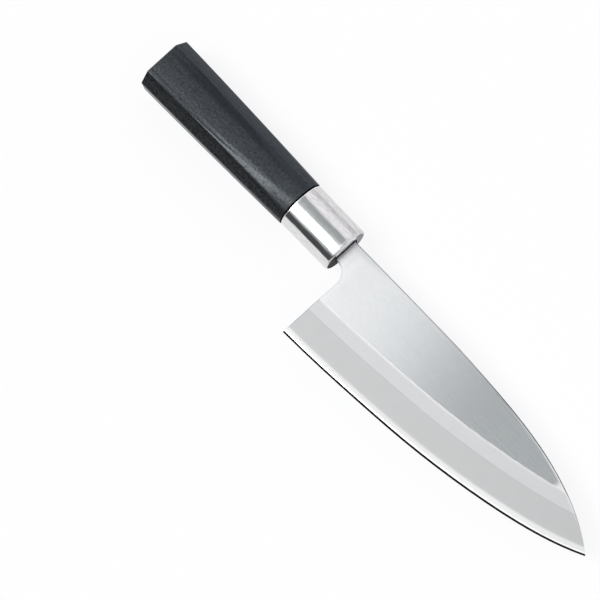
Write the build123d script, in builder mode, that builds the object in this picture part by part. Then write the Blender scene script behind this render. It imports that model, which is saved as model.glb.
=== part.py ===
from build123d import *
from math import cos, radians, sin
import os

# Deba knife, lying on its back with the bevelled face up. Lengths are in millimetres.
# X runs from the butt to the tip, Y from the edge to the spine and Z up through the
# thickness. The origin is under the middle of the knife, at its lowest height.

os.makedirs("parts", exist_ok=True)

# Lengths along the knife
grip_length = 100.8
ferrule_length = 32.8
neck_length = 9.0
blade_run = 176.3

# Blade
spine_height = 6.65
heel_drop = 49.8
edge_rise = 30.8
blade_thickness = 4.0
spine_chamfer = 0.5
heel_lean = 1.3
choil_radius = 8.5
neck_drop = 6.3
neck_root_length = 1.0
neck_step = 0.15
straight_spine = 53.0
tip_slope = 0.86

# Bevel: its width at the heel and at the tip, and where its second line lies, as shares of
# its width and height
heel_bevel_width = 24.3
tip_bevel_width = 25.4
second_line_share = 0.69
second_line_height_share = 0.79

# The polished strip along the edge, the narrower facet below it and the edge's own bevel:
# the distance from the edge to the top of each, and the height there above the back
strip_width = 3.9
strip_height = 1.22
facet_width = 1.8
facet_height = 0.95
edge_bevel_width = 1.0
edge_bevel_height = 0.75
edge_land = 0.06

# Places along the edge's run, and the edge's rise there as a share of its whole rise
edge_shares = [
    (-0.08, -0.018),
    (0.0, 0.0),
    (0.08, 0.018),
    (0.24, 0.0795),
    (0.40, 0.163),
    (0.56, 0.285),
    (0.70, 0.436),
    (0.82, 0.604),
    (0.92, 0.793),
    (1.0, 1.0),
    (1.05, 1.16),
]

# The curved spine: places along its run, and its drop there as a share of its whole drop
spine_shares = [(0.265, 0.04), (0.494, 0.13), (0.646, 0.255), (0.777, 0.435), (0.89, 0.663)]

# Shallow hollow ground into the blade's flat back, deepest at the heel
hollow_depth = 0.35
hollow_width = 38.0
hollow_length = 155.0
hollow_drop = 26.5
hollow_rise = 9.0

# Tang
tang_length = 86.0
tang_thickness = 3.4
tang_root_height = 10.6
tang_end_height = 6.4
tang_corner_radius = 1.2
tang_hole_diameter = 4.0
tang_hole_shares = (0.35, 0.7)

# Grip
grip_thickness = 23.5
butt_height = 31.1
middle_height = 28.8
front_height = 27.1
middle_share = 0.62
facet_trim = 0.01
butt_edge_radius = 0.6
shoulder_edge_radius = 0.4
shoulder_angles = (30, 60, 90)

# The eight-sided section at the butt, the middle and the front: the half width of the wide
# side facet as a share of the half height, the half width of the narrow facet as a share of
# the half thickness, and the radii of the corners beside them as shares of the half thickness
butt_section_shares = (0.63, 0.43, 0.1, 0.1)
middle_section_shares = (0.59, 0.38, 0.3, 0.25)
front_section_shares = (0.525, 0.315, 1.08, 0.8)

# Ferrule
ferrule_rear_height = 26.6
ferrule_front_height = 26.1
ferrule_rear_thickness = 23.0
ferrule_front_thickness = 22.6
ferrule_wall = 0.8
ferrule_lip_radius = 1.6
ferrule_rear_radius = 0.25
slot_end_clearance = 0.9
slot_side_clearance = 2.4
slot_radius = 1.0

# Fits
shoulder_gap = 0.6
spigot_gap = 0.1
socket_clearance = 1.0
seal_thickness = 1.2
seal_recess = 0.25
overrun = 6.0

# Places along the knife, measured from the butt
ferrule_rear_x = grip_length + shoulder_gap
ferrule_front_x = ferrule_rear_x + ferrule_length
ferrule_wall_x = ferrule_front_x - ferrule_wall
spigot_end_x = ferrule_wall_x - seal_thickness
neck_root_x = ferrule_front_x + neck_root_length
choil_x = ferrule_front_x + neck_length
heel_x = choil_x - heel_lean
tip_x = choil_x + blade_run
shoulder_x = spigot_end_x - ferrule_lip_radius
tang_end_x = shoulder_x - tang_length
socket_end_x = tang_end_x - 2 * socket_clearance
spine_curve_x = choil_x + straight_spine

# Sizes worked out from the ones above, measured from the grip's centre line
back_z = -blade_thickness / 2
edge_run = tip_x - heel_x
tip_y = edge_rise - heel_drop
spine_run = tip_x - spine_curve_x
spine_drop = spine_height - tip_y
neck_height = spine_height + neck_drop
neck_y = (spine_height - neck_drop) / 2
slot_height = neck_height + 2 * slot_end_clearance
slot_thickness = blade_thickness + 2 * slot_side_clearance
half_grip = grip_thickness / 2
rough_half_grip = half_grip + facet_trim

# Half axes of the ferrule's oval inside, at its rear and at its front wall
rear_inside = (ferrule_rear_height / 2 - ferrule_wall, ferrule_rear_thickness / 2 - ferrule_wall)
front_inside = (ferrule_front_height / 2 - ferrule_wall, ferrule_front_thickness / 2 - ferrule_wall)
inside_radius = ferrule_lip_radius - ferrule_wall

# The whole knife's box puts the origin under its middle
butt_x = -tip_x / 2
axis_y = (heel_drop - butt_height / 2) / 2


def station(x):
    """The plane square to the knife at a place along it: across the knife, then up."""
    return Plane(origin=(butt_x + x, axis_y, half_grip), x_dir=(0, 1, 0), z_dir=(1, 0, 0))


def level(z):
    """The plane seen from above, at a height from the grip's centre line."""
    return Plane(origin=(butt_x, axis_y, half_grip + z), x_dir=(1, 0, 0), z_dir=(0, 0, 1))


def bevelled_section(run_share, rise_share):
    """The blade's section at shares of the edge's run and rise, on past the spine and the back."""
    edge_y = rise_share * edge_rise - heel_drop
    bevel_width = heel_bevel_width + run_share * (tip_bevel_width - heel_bevel_width)
    second_line_height = blade_thickness * second_line_height_share
    return [
        (spine_height + bevel_width, back_z - overrun),
        (edge_y, back_z - overrun),
        (edge_y, back_z + edge_land),
        (edge_y + edge_bevel_width, back_z + edge_bevel_height),
        (edge_y + facet_width, back_z + facet_height),
        (edge_y + strip_width, back_z + strip_height),
        (edge_y + bevel_width * second_line_share, back_z + second_line_height),
        (edge_y + bevel_width, back_z + blade_thickness),
        (spine_height + bevel_width, back_z + blade_thickness),
    ]


def grip_corners(height, shares):
    """The corners of the grip's eight-sided section."""
    wide = height / 2 * shares[0]
    narrow = rough_half_grip * shares[1]
    quarter = [(height / 2, narrow), (wide, rough_half_grip)]
    upper = quarter + [(-y, z) for y, z in reversed(quarter)]
    return upper + [(y, -z) for y, z in reversed(upper)]


# Blade: the ground body, cut to its outline and along the chamfer of its spine by a slanting
# prism, with the hollow back, the stepped neck and the tang
with BuildPart() as blade:
    for run_share, rise_share in edge_shares:
        with BuildSketch(station(heel_x + run_share * edge_run)):
            with BuildLine():
                Polyline(*bevelled_section(run_share, rise_share), close=True)
            make_face()
    loft()
    with BuildSketch(level(back_z)):
        with BuildLine():
            spine_line = Line((neck_root_x, spine_height), (spine_curve_x, spine_height))
            spine_points = [
                (spine_curve_x + run_share * spine_run, spine_height - drop_share * spine_drop)
                for run_share, drop_share in spine_shares
            ]
            spine_curve = Spline(
                spine_line @ 1,
                *spine_points,
                (tip_x, tip_y),
                tangents=[(1, 0), (1, -tip_slope)],
            )
            past_tip = Line(spine_curve @ 1, (tip_x + overrun, tip_y - tip_slope * overrun))
            heel_line = Polyline(
                past_tip @ 1,
                (tip_x + overrun, -heel_drop - overrun),
                (heel_x, -heel_drop - overrun),
                (heel_x, -heel_drop),
                (choil_x, -neck_drop - choil_radius),
            )
            choil = RadiusArc(heel_line @ 1, (choil_x - choil_radius, -neck_drop), -choil_radius)
            Polyline(choil @ 1, (neck_root_x, -neck_drop), spine_line @ 0)
        make_face()
    extrude(amount=blade_thickness + overrun, mode=Mode.INTERSECT)
    with BuildSketch(level(-back_z - spine_chamfer)):
        with BuildLine():
            add([spine_line, spine_curve, past_tip])
            Polyline(
                past_tip @ 1,
                (tip_x + overrun, -heel_drop - overrun),
                (neck_root_x, -heel_drop - overrun),
                spine_line @ 0,
            )
        make_face()
    extrude(amount=blade_thickness + overrun, dir=(0, -1, 1), both=True, mode=Mode.INTERSECT)
    with BuildSketch(station(heel_x)):
        with BuildLine():
            hollow_arc = SagittaArc(
                (-hollow_drop - hollow_width / 2, back_z),
                (-hollow_drop + hollow_width / 2, back_z),
                hollow_depth,
            )
            Polyline(
                hollow_arc @ 1,
                (-hollow_drop + hollow_width / 2, back_z - overrun),
                (-hollow_drop - hollow_width / 2, back_z - overrun),
                hollow_arc @ 0,
            )
        make_face()
    extrude(amount=hollow_length, dir=(hollow_length, hollow_rise, -hollow_depth), mode=Mode.SUBTRACT)
    with BuildSketch(level(back_z + neck_step)):
        with Locations(((shoulder_x + neck_root_x) / 2, neck_y)):
            Rectangle(neck_root_x - shoulder_x, neck_height - 2 * neck_step)
    extrude(amount=blade_thickness - 2 * neck_step)
    with BuildSketch(level(-tang_thickness / 2)) as tang_outline:
        with BuildLine():
            Polyline(
                (spigot_end_x, tang_root_height / 2),
                (tang_end_x, tang_end_height / 2),
                (tang_end_x, -tang_end_height / 2),
                (spigot_end_x, -tang_root_height / 2),
                close=True,
            )
        make_face()
        fillet(tang_outline.vertices().group_by(Axis.X)[0], tang_corner_radius)
    extrude(amount=tang_thickness)
    with BuildSketch(level(-tang_thickness / 2)):
        with Locations(*[(tang_end_x + share * tang_length, 0) for share in tang_hole_shares]):
            Circle(tang_hole_diameter / 2)
    extrude(amount=tang_thickness, mode=Mode.SUBTRACT)
blade.part.label = "blade"

# Tang adhesive: the cured filling of the handle's socket, round the tang
with BuildPart() as tang_adhesive:
    with BuildSketch(station(socket_end_x)):
        Rectangle(tang_end_height + 2 * socket_clearance, tang_thickness + 2 * socket_clearance)
    with BuildSketch(station(spigot_end_x)):
        with Locations((neck_y, 0)):
            Rectangle(neck_height + 2 * socket_clearance, blade_thickness + 2 * socket_clearance)
    loft()
    socket = tang_adhesive.part
    add(blade.part, mode=Mode.SUBTRACT)
tang_adhesive.part.label = "tang_adhesive"

# Handle: the grip, its spigot inside the ferrule and its blind socket for the tang
with BuildPart() as handle:
    for section_x, height, shares in (
        (0, butt_height, butt_section_shares),
        (grip_length * middle_share, middle_height, middle_section_shares),
        (grip_length - shoulder_edge_radius, front_height, front_section_shares),
    ):
        with BuildSketch(station(section_x)) as section:
            with BuildLine():
                Polyline(*grip_corners(height, shares), close=True)
            make_face()
            fillet(section.vertices().group_by(lambda corner: abs(corner.Y))[-1], half_grip * shares[2])
            fillet(section.vertices().group_by(lambda corner: abs(corner.Y))[0], half_grip * shares[3])
    loft()
    fillet(handle.faces().sort_by(Axis.X)[0].edges(), butt_edge_radius)
    shoulder = handle.faces().sort_by(Axis.X)[-1]
    shoulder_rings = [shoulder]
    for angle in shoulder_angles:
        inset = shoulder_edge_radius * (1 - cos(radians(angle)))
        advance = shoulder_edge_radius * sin(radians(angle))
        shoulder_rings.append(Pos(advance, 0, 0) * Face(shoulder.outer_wire().offset_2d(-inset)))
    loft(shoulder_rings)
    with BuildSketch(level(-half_grip)):
        with Locations((grip_length / 2, 0)):
            Rectangle(grip_length + overrun, butt_height + overrun)
    extrude(amount=grip_thickness, mode=Mode.INTERSECT)
    for section_x, inside in ((grip_length, rear_inside), (spigot_end_x, front_inside)):
        with BuildSketch(station(section_x)):
            Ellipse(inside[0] - spigot_gap, inside[1] - spigot_gap)
    loft()
    add(socket, mode=Mode.SUBTRACT)
handle.part.label = "handle"

# The space inside the ferrule, with a rounded front corner
with BuildPart() as ferrule_inside:
    for section_x, inside in ((ferrule_rear_x, rear_inside), (ferrule_wall_x, front_inside)):
        with BuildSketch(station(section_x)):
            Ellipse(*inside)
    loft()
    fillet(ferrule_inside.faces().sort_by(Axis.X)[-1].edges(), inside_radius)

# Ferrule: a drawn cap with a rounded lip, and a slot for the neck
with BuildPart() as ferrule:
    with BuildSketch(station(ferrule_rear_x)):
        Ellipse(ferrule_rear_height / 2, ferrule_rear_thickness / 2)
    with BuildSketch(station(ferrule_front_x)):
        Ellipse(ferrule_front_height / 2, ferrule_front_thickness / 2)
    loft()
    fillet(ferrule.faces().sort_by(Axis.X)[-1].edges(), ferrule_lip_radius)
    fillet(ferrule.faces().sort_by(Axis.X)[0].edges(), ferrule_rear_radius)
    add(ferrule_inside.part, mode=Mode.SUBTRACT)
    with BuildSketch(station(ferrule_wall_x)) as slot:
        with Locations((neck_y, 0)):
            RectangleRounded(slot_height, slot_thickness, slot_radius)
    extrude(amount=overrun, mode=Mode.SUBTRACT)
ferrule.part.label = "ferrule"

# Mouth seal: a pad behind the ferrule's front wall, and the filling of the slot round the neck
with BuildPart() as mouth_seal:
    with BuildSketch(station(spigot_end_x)):
        Ellipse(front_inside[0] - inside_radius, front_inside[1] - inside_radius)
    extrude(amount=seal_thickness)
    with BuildSketch(station(ferrule_wall_x)):
        add(slot.sketch_local)
    extrude(amount=ferrule_wall - seal_recess)
    add(blade.part, mode=Mode.SUBTRACT)
mouth_seal.part.label = "mouth_seal"

for piece in (blade, tang_adhesive, handle, ferrule, mouth_seal):
    export_step(piece.part, f"parts/{piece.part.label}.step")
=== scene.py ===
import math

import bpy
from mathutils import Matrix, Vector


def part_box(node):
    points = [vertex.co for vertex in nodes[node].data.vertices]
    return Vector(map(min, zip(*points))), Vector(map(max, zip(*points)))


MM = 0.001

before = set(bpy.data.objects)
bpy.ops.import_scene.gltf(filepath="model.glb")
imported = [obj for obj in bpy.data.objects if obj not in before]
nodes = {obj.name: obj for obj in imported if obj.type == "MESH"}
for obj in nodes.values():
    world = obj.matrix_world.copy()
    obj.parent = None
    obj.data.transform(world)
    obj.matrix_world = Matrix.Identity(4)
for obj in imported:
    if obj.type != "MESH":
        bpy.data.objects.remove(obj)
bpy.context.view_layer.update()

# Places on the knife, in millimetres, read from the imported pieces. X runs from the butt to the
# tip, Y from the edge to the spine and Z up from the floor. The neck's root is at the step in its
# outline, just in front of the ferrule.
grip_low, grip_high = (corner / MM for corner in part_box("handle"))
cap_low, cap_high = (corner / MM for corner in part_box("ferrule"))
blade_low, blade_high = (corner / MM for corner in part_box("blade"))
centre_y = (grip_low.y + grip_high.y) / 2
centre_z = (cap_low.z + cap_high.z) / 2
neck_step = 1
neck_root_x = cap_high.x + neck_step
tip_x = blade_high.x


class Value:
    """A shader node's output, on which arithmetic adds Math nodes."""

    def __init__(self, tree, socket):
        self.tree = tree
        self.socket = socket

    def output(self, name):
        """Another output of the same node."""
        return Value(self.tree, self.socket.node.outputs[name])

    def maths(self, operation, *others):
        """A Math node on this value and the others that the operation needs."""
        return self.tree.node("ShaderNodeMath", {"operation": operation}, dict(enumerate((self, *others))))

    def __add__(self, other):
        return self.maths("ADD", other)

    def __sub__(self, other):
        return self.maths("SUBTRACT", other)

    def __rsub__(self, other):
        return self.maths("MULTIPLY_ADD", -1, other)

    def __mul__(self, other):
        return self.maths("MULTIPLY", other)

    def __truediv__(self, other):
        return self.maths("DIVIDE", other)

    def __pow__(self, other):
        return self.maths("POWER", other)

    __radd__ = __add__
    __rmul__ = __mul__

    def rise(self, low, high):
        """Rises smoothly from 0 at low to 1 at high, or falls where high is the lower one."""
        settings = {"interpolation_type": "SMOOTHSTEP"}
        inputs = {"Value": self, "From Min": min(low, high), "From Max": max(low, high)}
        risen = self.tree.node("ShaderNodeMapRange", settings, inputs)
        return risen if low < high else 1 - risen

    def above(self, level, blur):
        """1 above a level, with a blurred border."""
        return self.rise(level - blur / 2, level + blur / 2)

    def band(self, low, high, blur):
        """1 between low and high, with blurred borders."""
        return self.above(low, blur) * (1 - self.above(high, blur))

    def hump(self, centre, reach):
        """A smooth hump: 1 at the centre and 0 from its reach away."""
        return (1 - ((self - centre) / reach) ** 2).maths("MAXIMUM", 0) ** 2


class Tree:
    """A node tree that is filled from Python expressions."""

    def __init__(self, node_tree):
        self.nodes = node_tree.nodes
        self.links = node_tree.links
        self.nodes.clear()

    def node(self, kind, settings=None, inputs=None):
        """Adds a node, makes its settings, then gives its sockets their values or links."""
        made = self.nodes.new(kind)
        for name, setting in (settings or {}).items():
            if name == "stops":
                while len(made.color_ramp.elements) < len(setting):
                    made.color_ramp.elements.new(1)
                for element, (position, colour) in zip(made.color_ramp.elements, setting):
                    element.position = position
                    element.color = colour
            else:
                setattr(made, name, setting)
        for name, value in (inputs or {}).items():
            if isinstance(value, Value):
                self.links.new(value.socket, made.inputs[name])
            else:
                made.inputs[name].default_value = value
        return Value(self, made.outputs[0]) if made.outputs else None

    def mix(self, share, first, second):
        """A colour between two others."""
        return self.node("ShaderNodeMix", {"data_type": "RGBA"}, {0: share, 6: first, 7: second}).output(2)

    def tone(self, colour, level):
        """A colour made darker or lighter by a value round 1."""
        settings = {"data_type": "RGBA", "blend_type": "MULTIPLY"}
        shade = self.node("ShaderNodeCombineColor", {}, {0: level, 1: level, 2: level})
        return self.node("ShaderNodeMix", settings, {0: 1, 6: colour, 7: shade}).output(2)


class Finish(Tree):
    """A material on a piece of the knife, with what it varies by: the place, in millimetres, the
    distance across from the middle line towards the spine, and how far the surface faces each way."""

    def __init__(self, name):
        self.material = bpy.data.materials.new(name)
        self.material.use_nodes = True
        super().__init__(self.material.node_tree)
        coordinates = self.node("ShaderNodeTexCoord")
        in_metres = {0: coordinates.output("Object"), "Scale": 1 / MM}
        self.place = self.node("ShaderNodeVectorMath", {"operation": "SCALE"}, in_metres)
        place = self.node("ShaderNodeSeparateXYZ", {}, {0: self.place})
        self.x, self.y, self.z = (place.output(axis) for axis in "XYZ")
        self.across = self.y - centre_y
        facing = self.node("ShaderNodeSeparateXYZ", {}, {0: coordinates.output("Normal")})
        self.facing_x, self.facing_y, self.facing_z = (facing.output(axis) for axis in "XYZ")

    def noise(self, size, detail=2):
        """Noise round 0.5 with features of a size along each axis, in millimetres."""
        laid = self.node("ShaderNodeMapping", {"vector_type": "TEXTURE"}, {0: self.place, "Scale": size})
        return self.node("ShaderNodeTexNoise", {}, {"Vector": laid, "Scale": 1, "Detail": detail})

    def relief(self, height):
        """The normal of a surface with a relief, its height given in millimetres."""
        return self.node("ShaderNodeBump", {}, {"Height": height, "Distance": MM})

    def done(self, sockets, painted_shade_and_grain=0):
        """Ends the tree in a Principled shader, under a share of matte black that paints shade and grain.
        """
        clean = self.node("ShaderNodeBsdfPrincipled", {}, sockets)
        black = self.node("ShaderNodeBsdfPrincipled", {}, {
            "Base Color": grey(0.004, (0.85, 1, 1.15)), "Roughness": 0.9, "Specular IOR Level": 0.05,
        })
        shader = self.node("ShaderNodeMixShader", {}, {0: painted_shade_and_grain, 1: clean, 2: black})
        self.node("ShaderNodeOutputMaterial", {}, {"Surface": shader})
        return self.material


def grey(level, tint=(1, 1, 1)):
    """A colour of one brightness, slightly tinted."""
    return (level * tint[0], level * tint[1], level * tint[2], 1)


# Heights above the blade's back at which its ground faces begin, and the blur of their borders.
# The strip along the edge has a softer border, which climbs a little towards the tip.
facet_height = 0.75
strip_height = 0.95
lower_bevel_height = 1.21
upper_bevel_height = 3.16
flat_height = blade_high.z - blade_low.z
border_blur = 0.04
strip_blur = 0.24
strip_climb = 0.07

# The choil's arc and the heel line below it
choil_radius = 8.5
choil_inset = 0.5
choil_drop = 14.8
choil_x = neck_root_x - choil_inset
choil_y = centre_y - choil_drop
heel_slope = 1.3 / 35
heel_line_x = choil_x + choil_radius

# The spine's curve, as a formula close to it: its length before the tip, and its drop there, of
# which one half comes early and the other late, each as a power of the way along the curve
spine_curve_length = 123.3
spine_curve_x = tip_x - spine_curve_length
spine_drop = 25.65
early_power = 2
late_power = 5.3

# Stretches of the blade's length over which its colour and roughness change, from where each change
# begins to where it is full
# The neck and its root are painted lighter, as painted light
neck_painted_light = (neck_root_x + 12.55, neck_root_x + 4.55)
root_painted_light = (neck_root_x + 5.55, neck_root_x + 1.55)
# Towards the neck the brushing grows rougher and is painted lighter, as painted light
brushing_dulls_and_lights = (tip_x - 74.75, neck_root_x + 9.55)
spine_shades = (neck_root_x + 29.55, neck_root_x + 4.55)
chamfer_darkens = (tip_x - 109.75, tip_x - 74.75)
strip_brightens = (tip_x - 109.75, tip_x - 39.75)
rim_highlight_widens = (tip_x - 54.75, tip_x - 34.75)
flat_fades = (tip_x - 35.25, tip_x - 29.75)

# Stretches of the spine with a dark line and with a polished rim inside it, painted lighter as a
# highlight, and the blur of their ends
spine_line_ends = (tip_x - 79.75, tip_x - 14.75)
rim_highlight_ends = (tip_x - 71.75, tip_x - 16.75)
spine_blur = 12


def distance_from_spine(steel):
    """How far a place on the blade lies below the spine's curve."""
    curve = (steel.x - spine_curve_x).maths("MAXIMUM", 0) / spine_curve_length
    drop = spine_drop / 2 * (curve ** early_power + curve ** late_power)
    return blade_high.y - drop - steel.y


def distance_from_root(steel):
    """How far a place on the blade lies inside the choil's arc, or inside the heel line below it."""
    reach = steel.x - choil_x
    rise = steel.y - choil_y
    from_choil = (reach * reach + rise * rise) ** 0.5 - choil_radius
    from_heel = steel.x - heel_line_x - heel_slope * rise
    below_choil = 1 - rise.above(0, 1)
    return from_choil * (1 - below_choil) + from_heel * below_choil


def ground_steel():
    """The blade: a brushed flat and back, a hazy two-stage bevel, and a polished strip and edge."""
    steel = Finish("ground steel")
    height = steel.z - blade_low.z
    from_spine = distance_from_spine(steel)
    from_root = distance_from_root(steel)

    # Faces: those that look up or down, then the ground ones by their height
    upward = steel.facing_z.rise(0.3, 0.5)
    back = steel.facing_z.rise(-0.3, -0.5)
    side = 1 - upward - back
    spine_chamfer = upward * steel.facing_y.rise(0.3, 0.6)
    neck_root = steel.x.rise(neck_root_x + 0.15, neck_root_x + 0.05)
    # Painted shade where the blade enters the ferrule's slot, as a share of matte black
    slot_shade = steel.x.rise(cap_high.x + 0.15, cap_high.x)
    flat = upward * height.above(flat_height - 0.03, border_blur)
    upper_bevel = height.above(upper_bevel_height, border_blur)
    climb = strip_climb * steel.x.rise(neck_root_x, tip_x)
    lower_bevel = (height - climb).above(lower_bevel_height, strip_blur)
    strip = height.above(strip_height, border_blur)
    facet = height.above(facet_height, border_blur)

    # Lines: two ridges between the ground faces, the root's outline and the spine's line and shade
    second_line = height.band(upper_bevel_height - 0.06, upper_bevel_height + 0.02, border_blur)
    ridge_line = height.band(flat_height - 0.14, flat_height - 0.02, border_blur) * (1 - neck_root)
    outline = upward * from_root.rise(0.5, 0.1) * (1 - neck_root)
    spine_line = upward * from_spine.rise(0.5, 0.2) * steel.x.band(*spine_line_ends, spine_blur)
    spine_shade = flat * from_spine.rise(5, 0.5) * steel.x.rise(*spine_shades)
    lines = 0.05 * ridge_line - 0.05 * second_line - 0.25 * outline
    lines = lines - 0.55 * spine_line - 0.14 * spine_shade

    # The polished rim inside the spine's line, painted lighter as a highlight, and the end of the flat,
    # where it fades into the bevel and takes the same lighter colour
    rim_highlight = upward * from_spine.rise(1.5, 0.6) * steel.x.band(*rim_highlight_ends, spine_blur)
    rim_highlight = rim_highlight * (0.3 + 0.7 * steel.x.rise(*rim_highlight_widens))
    rim_highlight = rim_highlight.maths("MAXIMUM", flat * steel.x.rise(*flat_fades))
    rim_highlight = rim_highlight * (1 - spine_chamfer) * (1 - spine_line)

    # The brushed flat and back are painted lighter towards the neck and lighter still at its root, as
    # painted light; the rougher brushing there is real
    dulled_and_lit = steel.x.rise(*brushing_dulls_and_lights)
    brushed_colour = steel.mix(dulled_and_lit, grey(0.68, (0.98, 1, 1.01)), grey(0.77, (0.99, 1, 1.01)))
    brushed_colour = steel.mix(steel.x.rise(*neck_painted_light), brushed_colour, grey(0.84))
    brushed_colour = steel.mix(steel.x.rise(*root_painted_light), brushed_colour, grey(1))
    strip_light = steel.x.rise(*strip_brightens)
    strip_colour = steel.mix(strip_light, grey(0.68, (1.005, 1, 0.99)), grey(0.755))
    chamfer_colour = steel.mix(steel.x.rise(*chamfer_darkens), grey(0.42), grey(0.12))
    # Below the facet, the edge's steep bevel is painted near black as a dark reflection
    colour = steel.mix(facet, grey(0.07), grey(1))
    colour = steel.mix(strip, colour, strip_colour)
    colour = steel.mix(lower_bevel, colour, grey(0.615, (0.99, 1, 1)))
    colour = steel.mix(upper_bevel, colour, grey(0.69, (0.995, 0.995, 1.005)))
    colour = steel.mix(flat + back, colour, brushed_colour)
    colour = steel.mix(side, colour, grey(0.5))
    colour = steel.mix(neck_root, colour, grey(0.85, (1, 0.97, 1.05)))
    colour = steel.mix(spine_chamfer, colour, chamfer_colour)
    colour = steel.mix(rim_highlight, colour, grey(0.82))

    brushing = steel.noise((3.6, 0.75, 2))
    streaks = steel.noise((60, 0.4, 6), detail=1)
    haze = steel.noise((6, 5, 5), detail=3)
    grain = steel.noise((0.9, 0.5, 0.5))
    brushed = (flat + back) * (1 - rim_highlight)
    ground = lower_bevel * (1 - brushed)
    grains = 0.13 * (brushing - 0.5) * brushed + 0.06 * (grain - 0.5) * ground
    colour = steel.tone(colour, 1 + lines + grains + 0.05 * (streaks - 0.5) + 0.04 * (haze - 0.5))
    roughness = 0.2 + 0.55 * ground + 0.4 * strip * (1 - lower_bevel)
    roughness = roughness + (0.08 + 0.27 * dulled_and_lit) * brushed + 0.06 * (streaks - 0.5)
    relief = 0.004 * brushing * brushed + 0.003 * grain * ground
    return steel.done({
        "Base Color": colour, "Metallic": 1, "Roughness": roughness, "Normal": steel.relief(relief),
    }, slot_shade)


# Along the ferrule: its rear edge, painted white as a highlight, its front lip, and the groove that
# sets the lip off
rear_highlight_fades = (cap_low.x + 0.75, cap_low.x + 0.4)
lip_begins = (cap_high.x - 2.4, cap_high.x - 1.8)
groove_x = cap_high.x - 1.6
groove_reach = 1

# Across the ferrule from its middle line, towards the spine: the front's ends, painted dark and grey
# as shade, the part of the lip that is fully hazy, and the mottled side
dark_shaded_end = (-5, -7)
grey_shaded_end = (6.5, 8.5)
lip_hazes = (-6.5, -4)
mottled_side = (3, 7)

# Through the ferrule from its middle: the surround of the slot, painted dark as shade
surround_shade_fades = (7.6, 6)


def polished_steel():
    """The ferrule: drawn steel with a mirror polish, slightly smeared, and a punched front with painted
    shade.
    """
    steel = Finish("polished steel")
    front = steel.facing_x.rise(0.75, 0.95)
    edge_end_shade = front * steel.across.rise(*dark_shaded_end)
    spine_end_shade = front * steel.across.rise(*grey_shaded_end)
    from_slot = (steel.z - centre_z).maths("ABSOLUTE")
    slot_surround_shade = from_slot.rise(*surround_shade_fades) * front * (1 - edge_end_shade) * (1 - spine_end_shade)
    rear_highlight = steel.x.rise(*rear_highlight_fades)
    lip = steel.x.rise(*lip_begins) * (1 - front)
    lip = lip * (0.25 + 0.75 * steel.across.rise(*lip_hazes))
    groove = steel.x.hump(groove_x, groove_reach)
    spine_side = steel.across.rise(*mottled_side) * steel.facing_z.rise(0, 0.2)

    smears = steel.noise((16, 2.2, 3), detail=3)
    cloud = steel.noise((3, 1.6, 1.6), detail=3)
    waves = steel.noise((10, 2.5, 2.5), detail=1)
    trails = steel.noise((15, 2, 3), detail=3).band(0.5, 0.53, 0.04) * spine_side
    colour = steel.mix(spine_side, grey(0.83), grey(0.77, (1, 0.99, 1)))
    colour = steel.mix(trails, colour, grey(0.62, (1.02, 0.98, 0.95)))
    # The front's spine end is painted grey as shade
    colour = steel.mix(spine_end_shade, colour, grey(0.5, (1, 0.96, 1.06)))
    colour = steel.mix(front * (1 - spine_end_shade), colour, grey(0.97))
    # The rear edge is painted white as a highlight
    colour = steel.mix(rear_highlight, colour, grey(1))
    mottling = (0.34 + 0.16 * spine_side) * (cloud - 0.5)
    colour = steel.tone(colour, 1 + 0.1 * (smears - 0.5) + mottling)
    roughness = 0.05 + 0.08 * smears.rise(0.45, 0.75) + 0.1 * front + 0.3 * rear_highlight + 0.28 * lip
    relief = 0.08 * waves + 0.015 * cloud - 0.065 * groove
    # Painted shade: matte black over the front's ends and round the slot
    painted_shade_and_grain = 0.94 * edge_end_shade + 0.5 * spine_end_shade + 0.75 * slot_surround_shade
    return steel.done({
        "Base Color": colour, "Metallic": 1, "Roughness": roughness, "Normal": steel.relief(relief),
    }, painted_shade_and_grain)


# The handle's straight part at the butt, the length over which it then turns oval, and half the
# wide facet's height
straight_length = 15
turning_length = 80
wide_facet_reach = 9.8

# The wide facet's crown: how far it reaches from the middle line, and how steep it grows
crown_reach = 7
crown_steepness = 0.0055

# Along the handle: the band beside the wide facet that is painted darker as shade, and the gap at
# the ferrule, painted black as shade
shaded_band_begins = (grip_low.x - 5, grip_low.x + 25)
gap_shade_begins = (cap_low.x - 0.8, cap_low.x - 0.6)

# Across the handle from its middle line, towards the spine: the band painted darker as shade, and
# the outer side, where the chamfer is painted lighter as reflected light
shaded_band_side = (3, 6)
outer_light_side = (11, 15)


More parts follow.
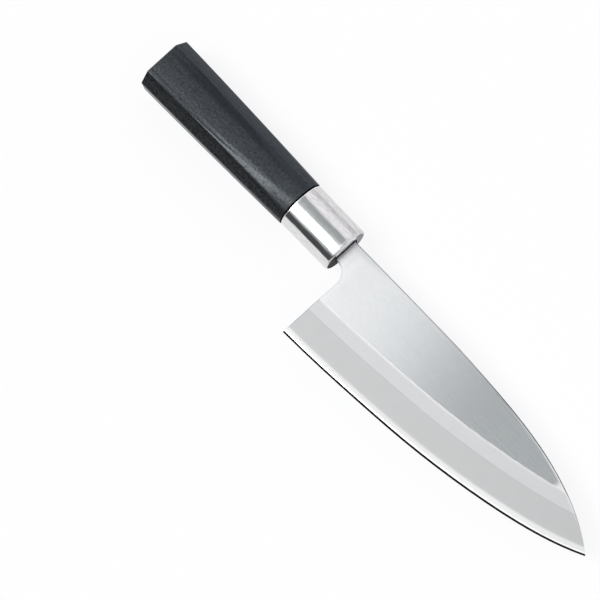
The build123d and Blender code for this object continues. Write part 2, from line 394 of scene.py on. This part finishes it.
def grip_plastic():
    """The handle: black plastic with finely pebbled, slightly crowned facets and smoother corners."""
    plastic = Finish("moulded grip plastic")
    butt = plastic.facing_x.rise(-0.5, -0.8)
    narrow_facet = plastic.facing_z.maths("ABSOLUTE").band(0.4, 0.7, 0.06)
    corner = plastic.facing_z.band(0.7, 0.985, 0.06) * plastic.facing_y.rise(-0.1, -0.2)
    spine_side = plastic.facing_y.rise(0.5, 0.75)
    outer_light = plastic.across.rise(*outer_light_side)
    gap_shade = plastic.x.rise(*gap_shade_begins)
    shaded_band = plastic.facing_z.rise(0.64, 0.74) * plastic.across.rise(*shaded_band_side)
    shaded_band = shaded_band * plastic.x.rise(*shaded_band_begins)

    # The facets' slight crown, and the rounding of their ridges, which widens towards the ferrule
    along = ((plastic.x - grip_low.x - straight_length) / turning_length).maths("MAXIMUM", 0)
    oval = along.rise(0.7, 1)
    from_middle = plastic.across.maths("ABSOLUTE")
    crown = -crown_steepness * from_middle.maths("MINIMUM", crown_reach) ** 2 * (1 - 0.6 * oval)
    ridge = (from_middle + 4.7 * along ** 1.5).hump(wide_facet_reach, 2 + 2 * along)
    rounding = (0.11 + 0.13 * along) * ridge * (1 - 0.8 * oval)
    rounding = rounding - 0.28 * along * from_middle.rise(7, 10.5)

    pebbles = plastic.noise((1.3, 1.3, 1.3))
    patches = plastic.noise((6, 3, 3))
    grain = (1 - 0.6 * spine_side) * (pebbles - 0.5)
    # Painted shade and light: the band beside the wide facet is darker, and the spine-side chamfer is
    # lighter and bluer, lightest outwards
    colour = plastic.mix(shaded_band, grey(0.016, (0.85, 1, 1.2)), grey(0.007, (0.6, 1, 1.6)))
    chamfer_colour = plastic.mix(outer_light, grey(0.04, (0.75, 1, 1.4)), grey(0.057, (0.8, 1, 1.3)))
    colour = plastic.mix(spine_side, colour, chamfer_colour)
    colour = plastic.tone(colour, 1 + 4.4 * grain + 0.3 * (patches - 0.5))
    roughness = 0.31 - 0.04 * corner + 0.1 * (patches - 0.5) + 0.07 * along.rise(0.8, 1)
    relief = 0.11 * pebbles * (1 - 0.4 * corner) * (1 - 0.5 * spine_side)
    relief = relief + (crown - rounding) * (1 - butt)
    # Painted shade: matte black over the narrow facets and the shaded band, and over the ridge's corner
    # growing towards the ferrule, mottled by the pebbles' grain; the gap is painted black
    painted_shade_and_grain = (0.62 - 0.12 * spine_side + 1.5 * grain) * narrow_facet + 0.25 * shaded_band
    painted_shade_and_grain = painted_shade_and_grain + (0.17 * along.rise(0.5, 0.7) + 1.3 * grain) * corner * (1 - narrow_facet)
    return plastic.done({
        "Base Color": colour, "Roughness": roughness, "Specular IOR Level": 0.7,
        "Specular Tint": grey(1, (0.92, 1, 1.06)), "Normal": plastic.relief(relief),
    }, painted_shade_and_grain.maths("MAXIMUM", gap_shade))


def mouth_filler():
    """The black filler in the ferrule's slot."""
    filler = Finish("black filler")
    grains = filler.noise((0.4, 0.4, 0.4))
    colour = filler.tone(grey(0.002), 1 + 0.6 * (grains - 0.5))
    return filler.done({
        "Base Color": colour, "Roughness": 0.6 + 0.2 * (grains - 0.5), "Specular IOR Level": 0.05,
        "Normal": filler.relief(0.03 * grains),
    })


def cured_resin():
    """The amber resin round the tang."""
    resin = Finish("cured resin")
    cloud = resin.noise((4, 3, 3), detail=3)
    bubbles = resin.noise((0.7, 0.7, 0.7), detail=1)
    colour = resin.mix(cloud.rise(0.3, 0.7), (0.42, 0.29, 0.13, 1), (0.58, 0.44, 0.23, 1))
    return resin.done({
        "Base Color": colour, "Roughness": 0.25 + 0.2 * (cloud - 0.5),
        "Normal": resin.relief(0.02 * bubbles),
    })


finishes = {
    "blade": ground_steel,
    "ferrule": polished_steel,
    "handle": grip_plastic,
    "mouth_seal": mouth_filler,
    "tang_adhesive": cured_resin,
}
for name, finish in finishes.items():
    mesh = nodes[name].data
    mesh.materials.clear()
    mesh.materials.append(finish())


# Floor: pale, with the knife's shadow, and white where the camera or a polished face sees it
floor_size = 6
floor_tint = (0.99, 0.99, 1)
shadow_share = 0.12
floor_glow = 0.87
mirror_loss = 0.11
bpy.ops.object.select_all(action="DESELECT")
bpy.ops.mesh.primitive_plane_add(size=floor_size, location=(0, 0, 0))
floor = bpy.context.object
floor.name = "floor"
floor_material = bpy.data.materials.new("pale floor")
floor_material.use_nodes = True
tree = Tree(floor_material.node_tree)
rays = tree.node("ShaderNodeLightPath")
mirrored = rays.output("Is Glossy Ray") + rays.output("Is Transmission Ray")
seen = rays.output("Is Camera Ray") + mirrored
plain = tree.node("ShaderNodeBsdfDiffuse", {}, {"Color": grey(0.8)})
shadowed = tree.node("ShaderNodeBsdfDiffuse", {}, {"Color": grey(shadow_share, floor_tint)})
strength = floor_glow - mirror_loss * mirrored
glow = tree.node("ShaderNodeEmission", {}, {"Color": grey(1, floor_tint), "Strength": strength})
shown = tree.node("ShaderNodeAddShader", {}, {0: shadowed, 1: glow})
surface = tree.node("ShaderNodeMixShader", {}, {0: seen, 1: plain, 2: shown})
tree.node("ShaderNodeOutputMaterial", {}, {"Surface": surface})
floor.data.materials.append(floor_material)


# Studio: soft panels round the knife, as brightnesses and tints at angles about its length,
# from the floor on the edge side (-90) over the top (0) to the floor on the spine side (90)
plain_white = (1, 1, 1)
cool = (0.95, 1, 1.02)
blue = (0.92, 1, 1.04)
lilac = (1, 0.985, 1.015)
panels = [
    (-90, 0.82, plain_white), (-88, 0.75, plain_white), (-84, 0.08, plain_white),
    (-70, 0.07, plain_white), (-58, 0.10, blue), (-49, 0.62, blue), (-43, 1, plain_white),
    (-12, 1, plain_white), (-2, 0.60, cool), (7, 0.47, cool), (17, 0.39, cool), (28, 0.43, cool),
    (34, 0.87, lilac), (40, 0.96, lilac), (60, 0.98, lilac), (72, 0.74, lilac),
    (83, 0.68, plain_white), (90, 0.73, plain_white),
]

# The softbox: how it begins and ends about the knife's length, and along it, in degrees
box_turns = ((-45, -41), (-6, -20))
box_leans = ((-60, -48), (-5, -11))
box_brightness = 6

world = bpy.data.worlds.new("studio")
bpy.context.scene.world = world
world.use_nodes = True
tree = Tree(world.node_tree)
direction = tree.node("ShaderNodeSeparateXYZ", {}, {0: tree.node("ShaderNodeTexCoord")})
turn = direction.output("Y").maths("ARCTAN2", direction.output("Z")) * math.degrees(1)
lean = direction.output("X").maths("ARCSINE") * math.degrees(1)
stops = [((angle + 90) / 180, grey(level, tint)) for angle, level, tint in panels]
walls = tree.node("ShaderNodeValToRGB", {"stops": stops}, {0: (turn + 90) / 180})
softbox = turn.rise(*box_turns[0]) * turn.rise(*box_turns[1])
softbox = softbox * lean.rise(*box_leans[0]) * lean.rise(*box_leans[1])
walls = tree.mix(softbox, walls, grey(box_brightness))
room = tree.node("ShaderNodeBackground", {}, {"Color": walls})
white = tree.node("ShaderNodeBackground", {}, {"Color": grey(1)})
rays = tree.node("ShaderNodeLightPath")
sky = tree.node("ShaderNodeMixShader", {}, {0: rays.output("Is Camera Ray"), 1: room, 2: white})
tree.node("ShaderNodeOutputWorld", {}, {"Surface": sky})


# Camera: a long lens, nearly square to the blade, from a little towards its tip and its edge
view_aim = Vector((-23.38, -15.82, 11.75)) * MM
view_distance = 818 * MM
view_tilt = math.radians(10.86)
view_lean = math.radians(4.46)
view_roll = math.radians(46.31)
camera = bpy.data.objects.new("camera", bpy.data.cameras.new("camera"))
bpy.context.scene.collection.objects.link(camera)
camera.data.sensor_width = 36
camera.data.lens = 100
camera.rotation_mode = "ZYX"
camera.rotation_euler = (view_lean, view_tilt, view_roll)
camera.location = view_aim + camera.rotation_euler.to_matrix() @ Vector((0, 0, view_distance))
bpy.context.scene.camera = camera
bpy.context.scene.view_settings.view_transform = "Standard"
